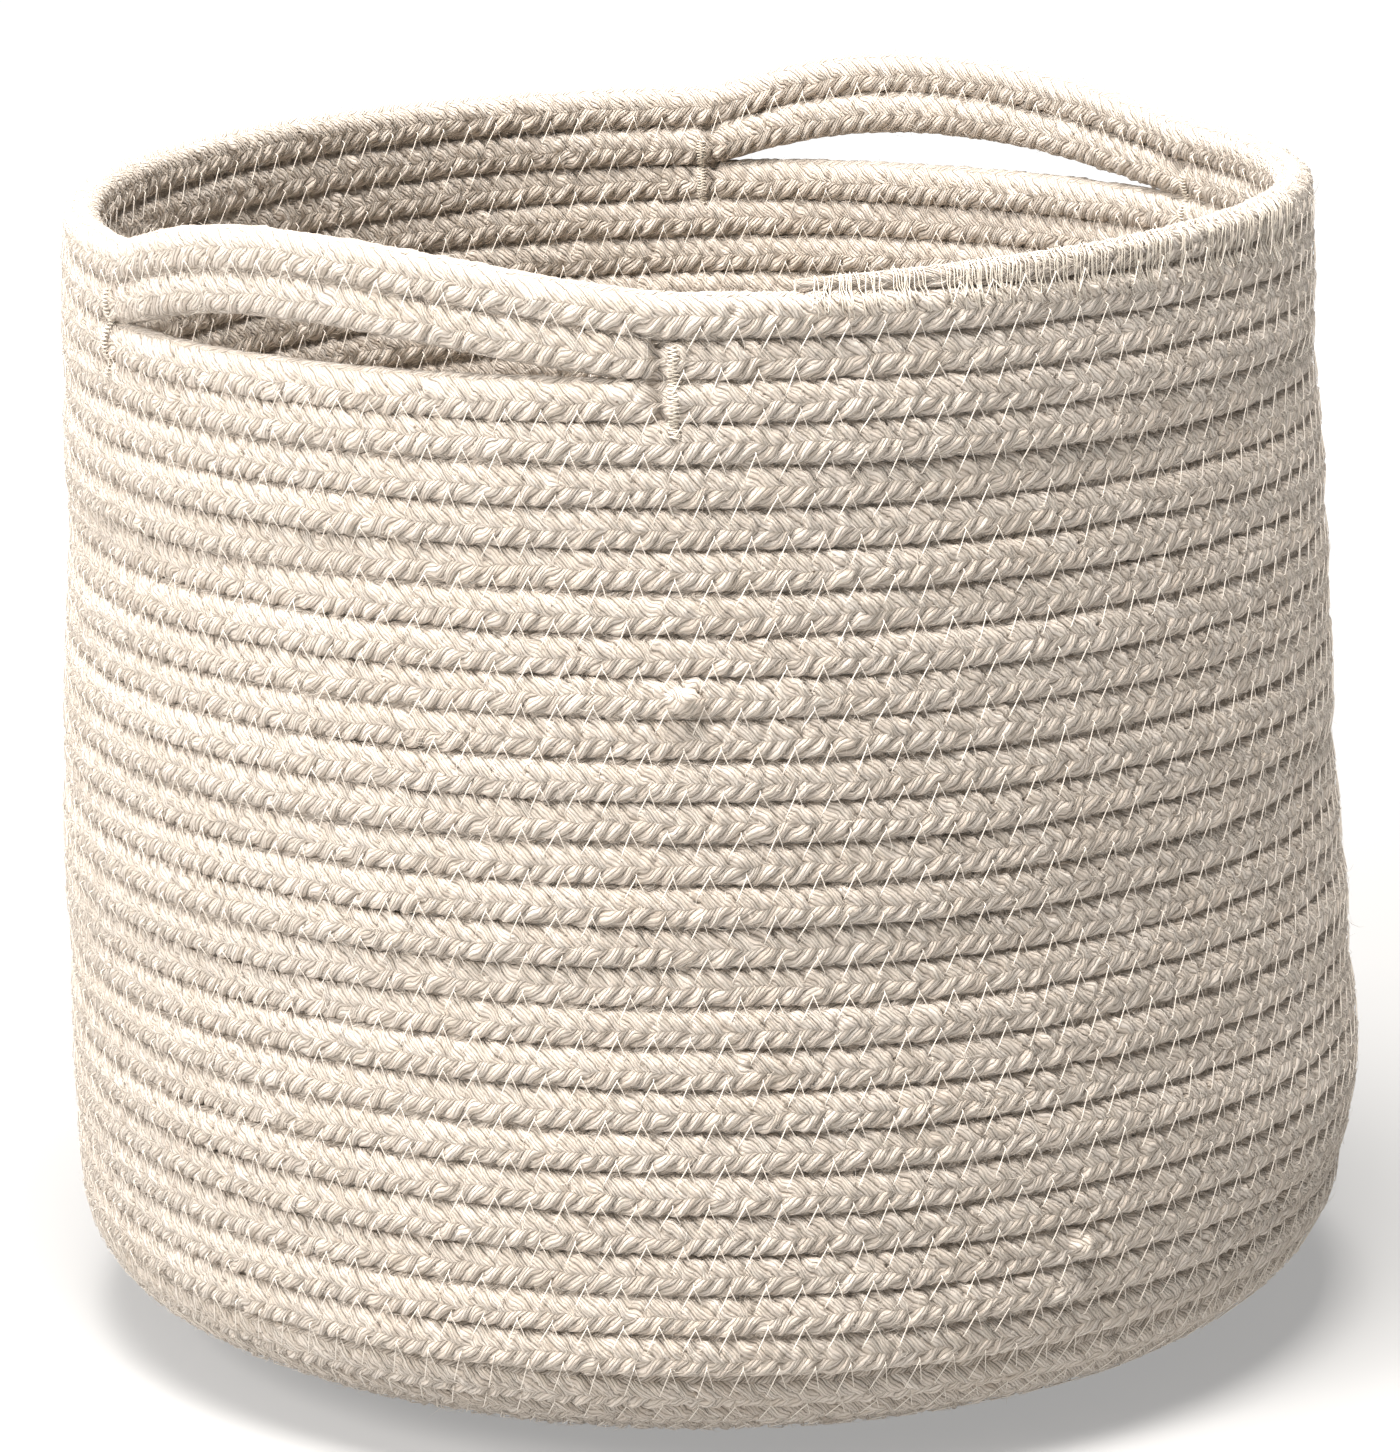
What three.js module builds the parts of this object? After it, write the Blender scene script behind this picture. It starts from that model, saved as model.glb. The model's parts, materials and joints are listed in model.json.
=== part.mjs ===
// Coiled rope storage basket: one braided cotton rope wound from the centre of
// the base outwards and up the wall, each turn sewn to the next, with a hand
// slot left open between two turns at the front and at the rear.
// Millimetres, +Z up, origin at the centre of the underside.  Front slot at -Y.
import * as THREE from 'three';

// ---- driving dimensions -------------------------------------------------
const PITCH = 10.0;            // height of one sewn course, measured along the wall
const HALF_T = 4.6;            // half of the rope's thickness through the wall
const VALLEY = 1.9;            // depth of the groove between two courses
const RIM_H = 294.0;           // height of the rim before its rise and fall
// the rim's rise and fall round the basket: mean, cos a, sin a, cos 2a, sin 2a
const RISE = [7.61, -6.71, -4.37, 0.10, 1.02];
const ROPE_END_A = 41 * Math.PI / 180; // where the rope ends on the rim; the coil climbs one course a turn to it
const RISE_FROM = 100.0;       // the wall is level below this height
const LEAN = 5.48;             // how far the rim sits off the base's centre
const LEAN_DIR = -4 * Math.PI / 180; // direction of the lean, from the front, anticlockwise seen from above
const WALL_R = [[294, 162.7], [254, 164.5], [209, 166.3], [164, 168.9], [119, 171.6], [74, 173.2], [35.5, 174.4]];
const CORNER_H = 35.5;         // height of the rounded lower corner
const CORNER_W = 77.5;         // width of the rounded lower corner
const CORNER_N = 2.19;         // how square the corner is (2 is an ellipse)
const OVAL = 4.1;              // how oval the lower corner is
const OVAL_DIR = 32 * Math.PI / 180; // direction of its long axis
const BULGE = 4.5;             // how far the wall bellies out low on one side
const TUCK = 4.0;              // how far it is drawn in at the floor on that side
const BULGE_DIR = 122 * Math.PI / 180; // direction of that side
const COURSES_TOP = 2;         // courses above each hand slot
const SLOT_HALF = 30 * Math.PI / 180; // half of the angle a hand slot spans
const SLOT_LIFT = [10.4, 10.3]; // how far the courses over the front and rear slots arch up
const SLOT_SKEW = [0.20, -0.22]; // how lopsided each arch is
const SLOT_POWER = 1.2;        // how gently the arches meet the rim
const SILL_SAG = 0.3;          // how far the course under a slot dips
const TACK_W = 2.6;            // width of a bar tack along the rim
const TACK_T = 0.9;            // how far a bar tack stands over the rope
const GAP = 0.3;               // working gap between neighbouring solids
const SEG = 32;                // facets round the basket
const MAT = {
  rope: () => new THREE.MeshStandardMaterial({ name: 'rope_cotton', color: 0xd9ccb4, roughness: 0.95, metalness: 0 }),
  handle: () => new THREE.MeshStandardMaterial({ name: 'rope_cotton', color: 0xddd1bb, roughness: 0.95, metalness: 0 }),
  thread: () => new THREE.MeshStandardMaterial({ name: 'tack_thread', color: 0xe6dcc8, roughness: 0.7, metalness: 0 }),
};

// ---- the wall's section -------------------------------------------------
// outer face from the rim down to the middle of the base, then moved in by
// half the rope's thickness and measured along its length
function wallRadius(z) {
  for (let i = 0; i + 1 < WALL_R.length; i++) {
    const [z1, r1] = WALL_R[i], [z0, r0] = WALL_R[i + 1];
    if (z >= z0) { const t = Math.min(1, (z - z0) / (z1 - z0)); return r0 + (r1 - r0) * t; }
  }
  return WALL_R[WALL_R.length - 1][1];
}
function outerLine() {
  const p = [];
  for (let z = RIM_H; z > CORNER_H; z -= 2) p.push([wallRadius(z), z]);
  const rw = WALL_R[WALL_R.length - 1][1];
  for (let i = 0; i <= 60; i++) {
    const t = i / 60 * Math.PI / 2;
    p.push([rw - CORNER_W + CORNER_W * Math.cos(t) ** (2 / CORNER_N), CORNER_H - CORNER_H * Math.sin(t) ** (2 / CORNER_N)]);
  }
  for (let r = rw - CORNER_W - 2; r > -1; r -= 2) p.push([Math.max(r, 0), 0]);
  return p;
}
const LINE = (() => {
  const o = outerLine(), c = [];
  for (let i = 0; i < o.length; i++) {
    const a = o[Math.max(0, i - 2)], b = o[Math.min(o.length - 1, i + 2)];
    const tx = b[0] - a[0], tz = b[1] - a[1], l = Math.hypot(tx, tz);
    // the way on along the wall is (tx, tz); inwards is to its right going down
    c.push([o[i][0] + HALF_T * tz / l, o[i][1] - HALF_T * tx / l]);
  }
  let s = 0; const out = [[0, c[0][0], c[0][1]]];
  for (let i = 1; i < c.length; i++) { s += Math.hypot(c[i][0] - c[i - 1][0], c[i][1] - c[i - 1][1]); out.push([s, c[i][0], c[i][1]]); }
  return out;
})();
export const LENGTH = LINE[LINE.length - 1][0];
function at(s) {
  s = Math.max(0, Math.min(LENGTH, s));
  let i = 1; while (i < LINE.length - 1 && LINE[i][0] < s) i++;
  const a = LINE[i - 1], b = LINE[i], t = (s - a[0]) / Math.max(1e-9, b[0] - a[0]);
  return [a[1] + (b[1 + 0] - a[1]) * t, a[2] + (b[2] - a[2]) * t];
}
// a point of the wall: s along the section, n out of the wall
function wallPoint(s, n) {
  const [r, z] = at(s), a = at(s - 4), b = at(s + 4);
  const tx = b[0] - a[0], tz = b[1] - a[1], l = Math.hypot(tx, tz);
  return [r - n * tz / l, z + n * tx / l];
}
// the wall's small departures from a true turned shape
const smooth = (t) => { t = Math.max(0, Math.min(1, t)); return t * t * (3 - 2 * t); };
const unit = (t) => Math.max(0, Math.min(1, t));
function settle(a, r, z) {
  const foot = unit((r - 90) / 75);
  r += OVAL * Math.cos(2 * (a - OVAL_DIR)) * unit((110 - z) / 80) * foot;
  r += (BULGE * Math.exp(-(((z - 66) / 28) ** 2)) - TUCK * unit((45 - z) / 45) * foot) * unit(Math.cos(a - BULGE_DIR)) ** 2;
  const k = Math.max(0, (z - RISE_FROM) / (RIM_H - RISE_FROM));
  const b = a - ROPE_END_A, climb = PITCH / Math.PI * (Math.sin(b) + Math.sin(2 * b) / 2);
  const rise = k * (RISE[0] + RISE[1] * Math.cos(a) + RISE[2] * Math.sin(a) + RISE[3] * Math.cos(2 * a) + RISE[4] * Math.sin(2 * a) + climb);
  const shift = LEAN * Math.max(0, (z - 50) / (RIM_H - 50));
  return [r * Math.sin(a) + shift * Math.sin(LEAN_DIR), -r * Math.cos(a) - shift * Math.cos(LEAN_DIR), z + rise];
}
function arch(a) {              // 0 outside the slots, 1 at the highest point of one
  let b = Math.atan2(Math.sin(a), Math.cos(a)), i = 0;
  if (Math.abs(b) > Math.PI / 2) { b = Math.atan2(Math.sin(a - Math.PI), Math.cos(a - Math.PI)); i = 1; }
  const t = b / SLOT_HALF;
  if (Math.abs(t) >= 1) return 0;
  const u = t + SLOT_SKEW[i] * (1 - t * t);
  return Math.max(0, 1 - u * u) ** SLOT_POWER;
}
function lift(a) { return arch(a) * (Math.cos(a) > 0 ? SLOT_LIFT[0] : SLOT_LIFT[1]); }

// ---- solids -------------------------------------------------------------
function mesh(name, pos, idx, mat) {
  const g = new THREE.BufferGeometry();
  g.setAttribute('position', new THREE.Float32BufferAttribute(pos, 3));
  g.setIndex(idx); g.computeVertexNormals();
  const m = new THREE.Mesh(g, mat); m.name = name; return m;
}
// closed section [s, n] points, turned right round; goes through lathe order
function ring(name, section, mat, sag = null) {
  const pos = [], idx = [], n = section.length;
  for (let i = 0; i < SEG; i++) {
    const a = i / SEG * 2 * Math.PI;
    for (const [s, h] of section) {
      const [r, z] = wallPoint(s, h);
      const p = settle(a, r, z);
      if (sag) p[2] += sag(a, s);
      pos.push(...p);
    }
  }
  for (let i = 0; i < SEG; i++) for (let j = 0; j < n; j++) {
    const a = i * n + j, b = i * n + (j + 1) % n, c = ((i + 1) % SEG) * n + j, d = ((i + 1) % SEG) * n + (j + 1) % n;
    idx.push(a, b, d, a, d, c);
  }
  return mesh(name, pos, idx, mat);
}
// scalloped band of whole courses k0..k1-1, outer face then inner face
function band(k0, k1, fine = false) {
  const sec = [], e = GAP / 2;
  const crest = fine ? [[0.16, 0.72], [0.36, 0.97], [0.64, 0.97], [0.84, 0.72]] : [[0.5, 1]];
  for (let k = k0; k < k1; k++) {
    sec.push([k * PITCH + (k === k0 ? e : 0), HALF_T - VALLEY]);
    for (const [t, h] of crest) sec.push([(k + t) * PITCH, HALF_T * h]);
  }
  sec.push([k1 * PITCH - e, HALF_T - VALLEY]);
  if (!fine) { // the inner face is kept plain where it isn't seen
    for (let k = k1; k >= k0; k--) sec.push([k * PITCH + (k === k1 ? -e : k === k0 ? e : 0), -(HALF_T - 0.6)]);
    return sec;
  }
  for (let k = k1 - 1; k >= k0; k--) {
    sec.push([(k + 1) * PITCH - (k === k1 - 1 ? e : 0), -(HALF_T - VALLEY)]);
    for (const [t, h] of [...crest].reverse()) sec.push([(k + t) * PITCH, -HALF_T * h]);
  }
  sec.push([k0 * PITCH + e, -(HALF_T - VALLEY)]);
  return sec;
}
// one course between two upright planes x = x0 and x = x1, on the front half
// (side -1) or rear half (side +1), or running round an end past the slots
const OCT = [[0, 1], [0.7, 0.72], [0.95, 0], [0.7, -0.72], [0, -1], [-0.7, -0.72], [-0.95, 0], [-0.7, 0.72]];
function sectionAt(k, a, lifted, top = 0.5, low = 0.5) {
  const out = [];
  for (const [u, h] of OCT) {
    const du = u < 0 ? u * (top * PITCH - GAP / 2) / 0.95 : u * (low * PITCH - GAP / 2) / 0.95;
    const [r, z] = wallPoint((k + 0.5) * PITCH + du, h * HALF_T);
    out.push([a, r, z, lifted ? lift(a) : 0]);
  }
  return out;
}
function archedCourse(name, k, a0, a1, steps, mat, cut0, cut1, lifted) {
  const pos = [], idx = [], n = OCT.length;
  for (let i = 0; i <= steps; i++) {
    let a = a0 + (a1 - a0) * i / steps;
    const sec = sectionAt(k, a, lifted);
    for (const q of sec) {
      let [aa, r, z, l] = q;
      // the end faces are upright planes square to X
      if (i === 0 && cut0 !== null) aa = solveX(r, z, a0, cut0);
      if (i === steps && cut1 !== null) aa = solveX(r, z, a1, cut1);
      if (lifted) l = lift(aa);
      const p = settle(aa, r, z); p[2] += l; pos.push(...p);
    }
  }
  for (let i = 0; i < steps; i++) for (let j = 0; j < n; j++) {
    const a = i * n + j, b = i * n + (j + 1) % n, c = (i + 1) * n + j, d = (i + 1) * n + (j + 1) % n;
    idx.push(a, b, d, a, d, c);
  }
  for (let j = 1; j + 1 < n; j++) { idx.push(0, j + 1, j); const o = steps * n; idx.push(o, o + j, o + j + 1); }
  return mesh(name, pos, idx, mat);
}
function solveX(r, z, a, x) {
  for (let i = 0; i < 12; i++) {
    const p = settle(a, r, z), q = settle(a + 1e-4, r, z);
    a += (x - p[0]) / ((q[0] - p[0]) / 1e-4);
  }
  return a;
}

const root = new THREE.Group();
const add = (m) => { root.add(m); return m; };

// hand slots: each handle's ends lie in the planes x = XC +- XH
const rSlot = wallPoint(1.0 * PITCH, 0)[0];
const XC = LEAN * Math.sin(LEAN_DIR) * 0.92;
const XH = rSlot * Math.sin(SLOT_HALF);
export const HINGE = { xc: XC, xh: XH, r: rSlot };
const inner = XH - GAP / 2, outer = XH + GAP / 2 + TACK_W + GAP / 2;
const HSTEP = 14;
for (const [tag, mid] of [['front', 0], ['rear', Math.PI]]) {
  const sx = tag === 'front' ? 1 : -1;
  for (let k = 0; k < COURSES_TOP; k++) {
    add(archedCourse(`handle_${tag}_${k === 0 ? 'upper' : 'lower'}_course`, k, mid - SLOT_HALF, mid + SLOT_HALF, HSTEP,
      MAT.handle(), XC - sx * inner, XC + sx * inner, true));
  }
}
// the same two courses between the slots, round the left and right ends
for (const [tag, a0, s] of [['right', SLOT_HALF, 1], ['left', Math.PI + SLOT_HALF, -1]]) {
  for (let k = 0; k < COURSES_TOP; k++) {
    add(archedCourse(`rim_${tag}_${k === 0 ? 'upper' : 'lower'}_course`, k, a0, a0 + Math.PI - 2 * SLOT_HALF, 16,
      MAT.rope(), XC + s * outer, XC + s * outer, false));
  }
}
// the course under the slots
add(ring('sill_course', band(2, 3, true), MAT.rope(), (a) => -SILL_SAG * arch(a)));
// the wall below, in groups of courses
const GROUPS = [[3, 5], [5, 8], [8, 11], [11, 14], [14, 17], [17, 20], [20, 23], [23, 26], [26, 29], [29, 32], [32, 36]];
GROUPS.forEach(([a, b], i) => {
  const kind = b <= 26 ? 'wall' : 'corner';
  const sec = band(a, b);
  add(ring(`${kind}_courses_${String(a + 1).padStart(2, '0')}_${String(b).padStart(2, '0')}`, sec, MAT.rope(),
    i === 0 ? ((q, s) => -SILL_SAG * arch(q) * Math.max(0, 1 - (s - 3 * PITCH) / (2 * PITCH))) : null));
});
// the base: a flat coil with a true flat underside
function baseRing(name, k0, k1) {
  const rK = (k) => at(k * PITCH)[0];
  const r0 = rK(k0) - GAP / 2, r1 = rK(k1) + GAP / 2;
  const zo = (r) => { // underside follows the corner until it is flat
    let lo = 0, hi = LENGTH; for (let i = 0; i < 40; i++) { const m = (lo + hi) / 2; if (at(m)[0] > r) lo = m; else hi = m; }
    return wallPoint(lo, HALF_T)[1];
  };
  const und = [], top = [];
  for (let k = k0; k <= k1; k++) {
    const r = k === k0 ? r0 : k === k1 ? r1 : rK(k);
    const z = Math.max(0, zo(Math.max(r, 0.5)));
    und.push([r, z < 0.25 ? 0 : z]);
    top.push([r, (z < 0.25 ? 0 : z) + 2 * HALF_T - VALLEY]);
    if (k < k1) { const rm = (rK(k) + rK(k + 1)) / 2, zm = Math.max(0, zo(rm)); top.push([rm, zm + 2 * HALF_T]); }
  }
  const pos = [], idx = [];
  const loop = [...und, ...top.reverse()];
  const n = loop.length;
  for (let i = 0; i < SEG; i++) { const a = i / SEG * 2 * Math.PI; for (const [r, z] of loop) pos.push(r * Math.sin(a), -r * Math.cos(a), z); }
  for (let i = 0; i < SEG; i++) for (let j = 0; j < n; j++) {
    const a = i * n + j, b = i * n + (j + 1) % n, c = ((i + 1) % SEG) * n + j, d = ((i + 1) % SEG) * n + (j + 1) % n;
    idx.push(a, b, d, a, d, c);
  }
  return mesh(name, pos, idx, MAT.rope());
}
add(baseRing('base_coil_outer', 36, 40));
add(baseRing('base_coil_inner', 40, Math.floor(LENGTH / PITCH) - 1));
{ // the rope's start, a small solid disc in the middle of the base
  const r = at((Math.floor(LENGTH / PITCH) - 1) * PITCH)[0] - GAP / 2;
  const prof = [[0, 0], [r, 0], [r, 2 * HALF_T - VALLEY], [r * 0.55, 2 * HALF_T], [0, 2 * HALF_T - 0.6]];
  const g = new THREE.LatheGeometry(prof.map(([x, z]) => new THREE.Vector2(x, z)), 24);
  g.rotateX(Math.PI / 2); // the lathe's Y becomes +Z
  const m = new THREE.Mesh(g, MAT.rope()); m.name = 'base_coil_centre'; add(m);
}
// bar tacks: a saddle of satin stitch over the sill course at each slot's end
function tack(name, x, side) {
  const a = Math.asin((Math.abs(x - XC) + TACK_W / 2) / rSlot) * (x < XC ? -1 : 1);
  const ang = side < 0 ? a : Math.PI - a;
  const k0 = 0.95 * PITCH, kTop = 1.0 * PITCH, kMid = 2.0 * PITCH, kBot = 2.85 * PITCH;
  const o = HALF_T + GAP, t = TACK_T, i = o + 1.0; // the inner leg clears the facets' chords
  // outline in (s, n): an upside-down U over the sill, filled above it
  const sec = [[k0, 3.2], [k0 + 3.0, o + t], [kBot, o + t], [kBot, o], [kMid + 1.4, o], [kMid - 0.15, HALF_T - VALLEY + GAP * 2.2],
    [kMid - 0.15, -(HALF_T - VALLEY + GAP * 2.2 + 1.0)], [kMid + 1.4, -i], [kBot, -i], [kBot, -(i + t)], [k0 + 3.0, -(i + t)], [k0, -3.2]];
  const s = x < XC ? -1 : 1;
  const xa = XC + s * (XH + GAP / 2), xb = XC + s * (XH + GAP / 2 + TACK_W);
  const pos = [], idx = [], n = sec.length;
  for (const xx of [xa, xb]) for (const [ss, h] of sec) {
    const [r, z] = wallPoint(ss, h);
    const aa = solveX(r, z, ang, xx), p = settle(aa, r, z); pos.push(...p);
  }
  for (let j = 0; j < n; j++) { const a0 = j, b0 = (j + 1) % n; idx.push(a0, b0, n + b0, a0, n + b0, n + a0); }
  const tri = THREE.ShapeUtils.triangulateShape(sec.map(([u, v]) => new THREE.Vector2(u, v)), []);
  let area = 0;
  for (let j = 0; j < n; j++) { const p = sec[j], q = sec[(j + 1) % n]; area += p[0] * q[1] - q[0] * p[1]; }
  for (let [i, j, k] of tri) {
    const ar = (sec[j][0] - sec[i][0]) * (sec[k][1] - sec[i][1]) - (sec[k][0] - sec[i][0]) * (sec[j][1] - sec[i][1]);
    if (ar * area < 0) [j, k] = [k, j];
    idx.push(i, k, j); idx.push(n + i, n + j, n + k);
  }
  const m = mesh(name, pos, idx, MAT.thread());
  return m;
}
function volume(g) {
  const p = g.attributes.position, ix = g.index.array; let v = 0;
  for (let i = 0; i < ix.length; i += 3) {
    const a = new THREE.Vector3().fromBufferAttribute(p, ix[i]), b = new THREE.Vector3().fromBufferAttribute(p, ix[i + 1]), c = new THREE.Vector3().fromBufferAttribute(p, ix[i + 2]);
    v += a.dot(b.cross(c)) / 6;
  }
  return v;
}
for (const [tag, side] of [['front', -1], ['rear', 1]]) for (const [lr, s] of [['left', -1], ['right', 1]]) {
  add(tack(`bar_tack_${tag}_${lr}`, XC + s * XH, side));
}
// turn any inside-out solid the right way round
root.traverse((m) => {
  if (!m.isMesh || !m.geometry.index) return;
  if (volume(m.geometry) < 0) { const ix = m.geometry.index.array; for (let i = 0; i < ix.length; i += 3) { const t = ix[i + 1]; ix[i + 1] = ix[i + 2]; ix[i + 2] = t; } m.geometry.computeVertexNormals(); }
});
export default root;
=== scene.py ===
# Coiled rope laundry basket: the braided rope, its seams and its bar tacks,
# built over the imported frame.  Metres, +Z up, front hand slot at -Y.
import bpy
import math
import json
import numpy as np
from mathutils import Matrix, Vector

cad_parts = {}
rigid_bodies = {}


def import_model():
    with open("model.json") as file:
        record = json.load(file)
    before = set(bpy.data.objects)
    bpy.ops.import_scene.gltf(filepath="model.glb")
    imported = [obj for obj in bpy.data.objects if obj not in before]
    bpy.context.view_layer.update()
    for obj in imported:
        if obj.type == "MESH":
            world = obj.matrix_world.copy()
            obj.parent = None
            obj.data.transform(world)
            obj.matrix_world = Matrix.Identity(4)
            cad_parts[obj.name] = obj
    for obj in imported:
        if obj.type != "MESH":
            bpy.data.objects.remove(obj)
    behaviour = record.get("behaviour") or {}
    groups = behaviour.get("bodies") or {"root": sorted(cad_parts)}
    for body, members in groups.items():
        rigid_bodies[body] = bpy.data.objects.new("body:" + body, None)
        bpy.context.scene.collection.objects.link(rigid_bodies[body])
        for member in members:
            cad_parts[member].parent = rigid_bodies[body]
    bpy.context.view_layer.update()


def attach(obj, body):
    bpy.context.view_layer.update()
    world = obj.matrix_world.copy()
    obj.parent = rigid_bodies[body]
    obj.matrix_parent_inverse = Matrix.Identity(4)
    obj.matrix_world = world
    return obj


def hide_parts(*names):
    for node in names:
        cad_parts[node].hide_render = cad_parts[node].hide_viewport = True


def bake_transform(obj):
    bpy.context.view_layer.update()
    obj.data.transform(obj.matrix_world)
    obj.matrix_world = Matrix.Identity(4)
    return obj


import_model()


MM = 0.001
PI = math.pi
RNG = np.random.RandomState(597)

# ---------------------------------------------------------------- dimensions
PITCH = 10.0
HALF_T = 4.6           # half the rope's thickness through the wall
HALF_H = 5.6          # half its height along the wall, a little pressed
RIM_H = 294.0
RISE_FROM = 100.0
LEAN = 5.48
LEAN_DIR = math.radians(-4)
BULGE, BULGE_DIR = 4.5, math.radians(122)    # the wall bellies outwards low on its right side
TUCK = 4.0                                   # and is drawn in again at the floor there
OVAL, OVAL_DIR = 4.1, math.radians(32)       # the lower corner is a little oval
WALL_R = [(294, 162.7), (254, 164.5), (209, 166.3), (164, 168.9), (119, 171.6), (74, 173.2), (35.5, 174.4)]
CORNER_H, CORNER_W, CORNER_N = 35.5, 77.5, 2.19
SLOT_HALF = math.radians(30)
SLOT_MID = (0.0, PI)
SKEW = (0.20, -0.22)
LIFT_FRONT, LIFT_REAR, ARCH_P = 10.4, 10.3, 1.2
RISE = [7.61, -6.71, -4.37, 0.10, 1.02]   # mean, cos, sin, cos 2, sin 2 of the rim's rise round the basket
SILL_SAG = 0.3
A_END = math.radians(41)      # where the rope's tapered end lies on the rim
TAPER = 0.165                 # turns over which the end grows to full size
STRAND = 4.5                  # spacing of the braid's strands along the rope
COT = 1.0                     # strands lie at 45 degrees
NCOL = 6                      # columns of strands round the rope
STITCH = 8.5                  # one zigzag cycle

# --------------------------------------------------------------- the section
_zz = np.array([z for z, r in WALL_R][::-1], float)
_rr = np.array([r for z, r in WALL_R][::-1], float)


def _section():
    z = np.arange(RIM_H, CORNER_H, -1.0)
    r = np.interp(z, _zz, _rr)
    # smooth the kinks of the table
    k = np.ones(31) / 31
    r = np.convolve(np.pad(r, 15, mode="edge"), k, mode="valid")
    t = np.linspace(0, PI / 2, 121)
    rw = WALL_R[-1][1]
    rc = rw - CORNER_W + CORNER_W * np.cos(t) ** (2 / CORNER_N)
    zc = CORNER_H - CORNER_H * np.sin(t) ** (2 / CORNER_N)
    rb = np.arange(rw - CORNER_W - 1, -0.5, -1.0)
    R = np.concatenate([r, rc, rb])
    Z = np.concatenate([z, zc, 0 * rb])
    R[-1] = max(R[-1], 0)
    # resample evenly, smooth lightly, then move in by half the thickness
    d = np.concatenate([[0], np.cumsum(np.hypot(np.diff(R), np.diff(Z)))])
    n = int(d[-1])
    q = np.linspace(0, d[-1], n)
    R, Z = np.interp(q, d, R), np.interp(q, d, Z)
    for _ in range(4):
        R[1:-1] = (R[:-2] + 2 * R[1:-1] + R[2:]) / 4
        Z[1:-1] = (Z[:-2] + 2 * Z[1:-1] + Z[2:]) / 4
    tr, tz = np.gradient(R), np.gradient(Z)
    ln = np.hypot(tr, tz)
    nr, nz = -tz / ln, tr / ln          # out of the wall
    cr, cz = R - HALF_T * nr, Z - HALF_T * nz
    s = np.concatenate([[0], np.cumsum(np.hypot(np.diff(cr), np.diff(cz)))])
    return s, cr, cz


S_, CR_, CZ_ = _section()
LENGTH = S_[-1]
# carry the line on past the rim, straight up
S_ = np.concatenate([[-40.0], S_])
CR_ = np.concatenate([[CR_[0]], CR_])
CZ_ = np.concatenate([[CZ_[0] + 40.0], CZ_])
_sg = np.arange(-30, LENGTH, 0.5)
_cr = np.interp(_sg, S_, CR_)
_cz = np.interp(_sg, S_, CZ_)
_tr, _tz = np.gradient(_cr, _sg), np.gradient(_cz, _sg)
_k = np.ones(13) / 13
_tr = np.convolve(np.pad(_tr, 6, mode="edge"), _k, mode="valid")
_tz = np.convolve(np.pad(_tz, 6, mode="edge"), _k, mode="valid")
_l = np.hypot(_tr, _tz)
_tr, _tz = _tr / _l, _tz / _l


def line(s):
    """centre radius, centre height, tangent (down the wall) and normal (out of it)"""
    r, z = np.interp(s, _sg, _cr), np.interp(s, _sg, _cz)
    tr, tz = np.interp(s, _sg, _tr), np.interp(s, _sg, _tz)
    return r, z, tr, tz, -tz, tr


def wrap(a):
    return (a + PI) % (2 * PI) - PI


def arch(a):
    """0 outside the slots, 1 over the highest point of one; each slot is a
    little lopsided"""
    f = wrap(a - SLOT_MID[0]) / SLOT_HALF
    r = wrap(a - SLOT_MID[1]) / SLOT_HALF
    f2 = f + SKEW[0] * (1 - f * f)
    r2 = r + SKEW[1] * (1 - r * r)
    return (np.where(np.abs(f) < 1, np.clip(1 - f2 * f2, 0, 1) ** ARCH_P, 0.0)
            + np.where(np.abs(r) < 1, np.clip(1 - r2 * r2, 0, 1) ** ARCH_P, 0.0))


def low_noise(x, seed, octaves=3, period=1.0):
    """smooth periodic noise from a few harmonics, about -1..1"""
    r = np.random.RandomState(seed)
    out = 0 * x
    tot = 0
    for k in range(1, 1 + octaves * 3):
        w = 1.0 / k
        out = out + w * np.sin(2 * PI * k * x / period + r.uniform(0, 2 * PI))
        tot += w * 0.6
    return out / tot


T_END = LENGTH / PITCH - 0.55


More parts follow.
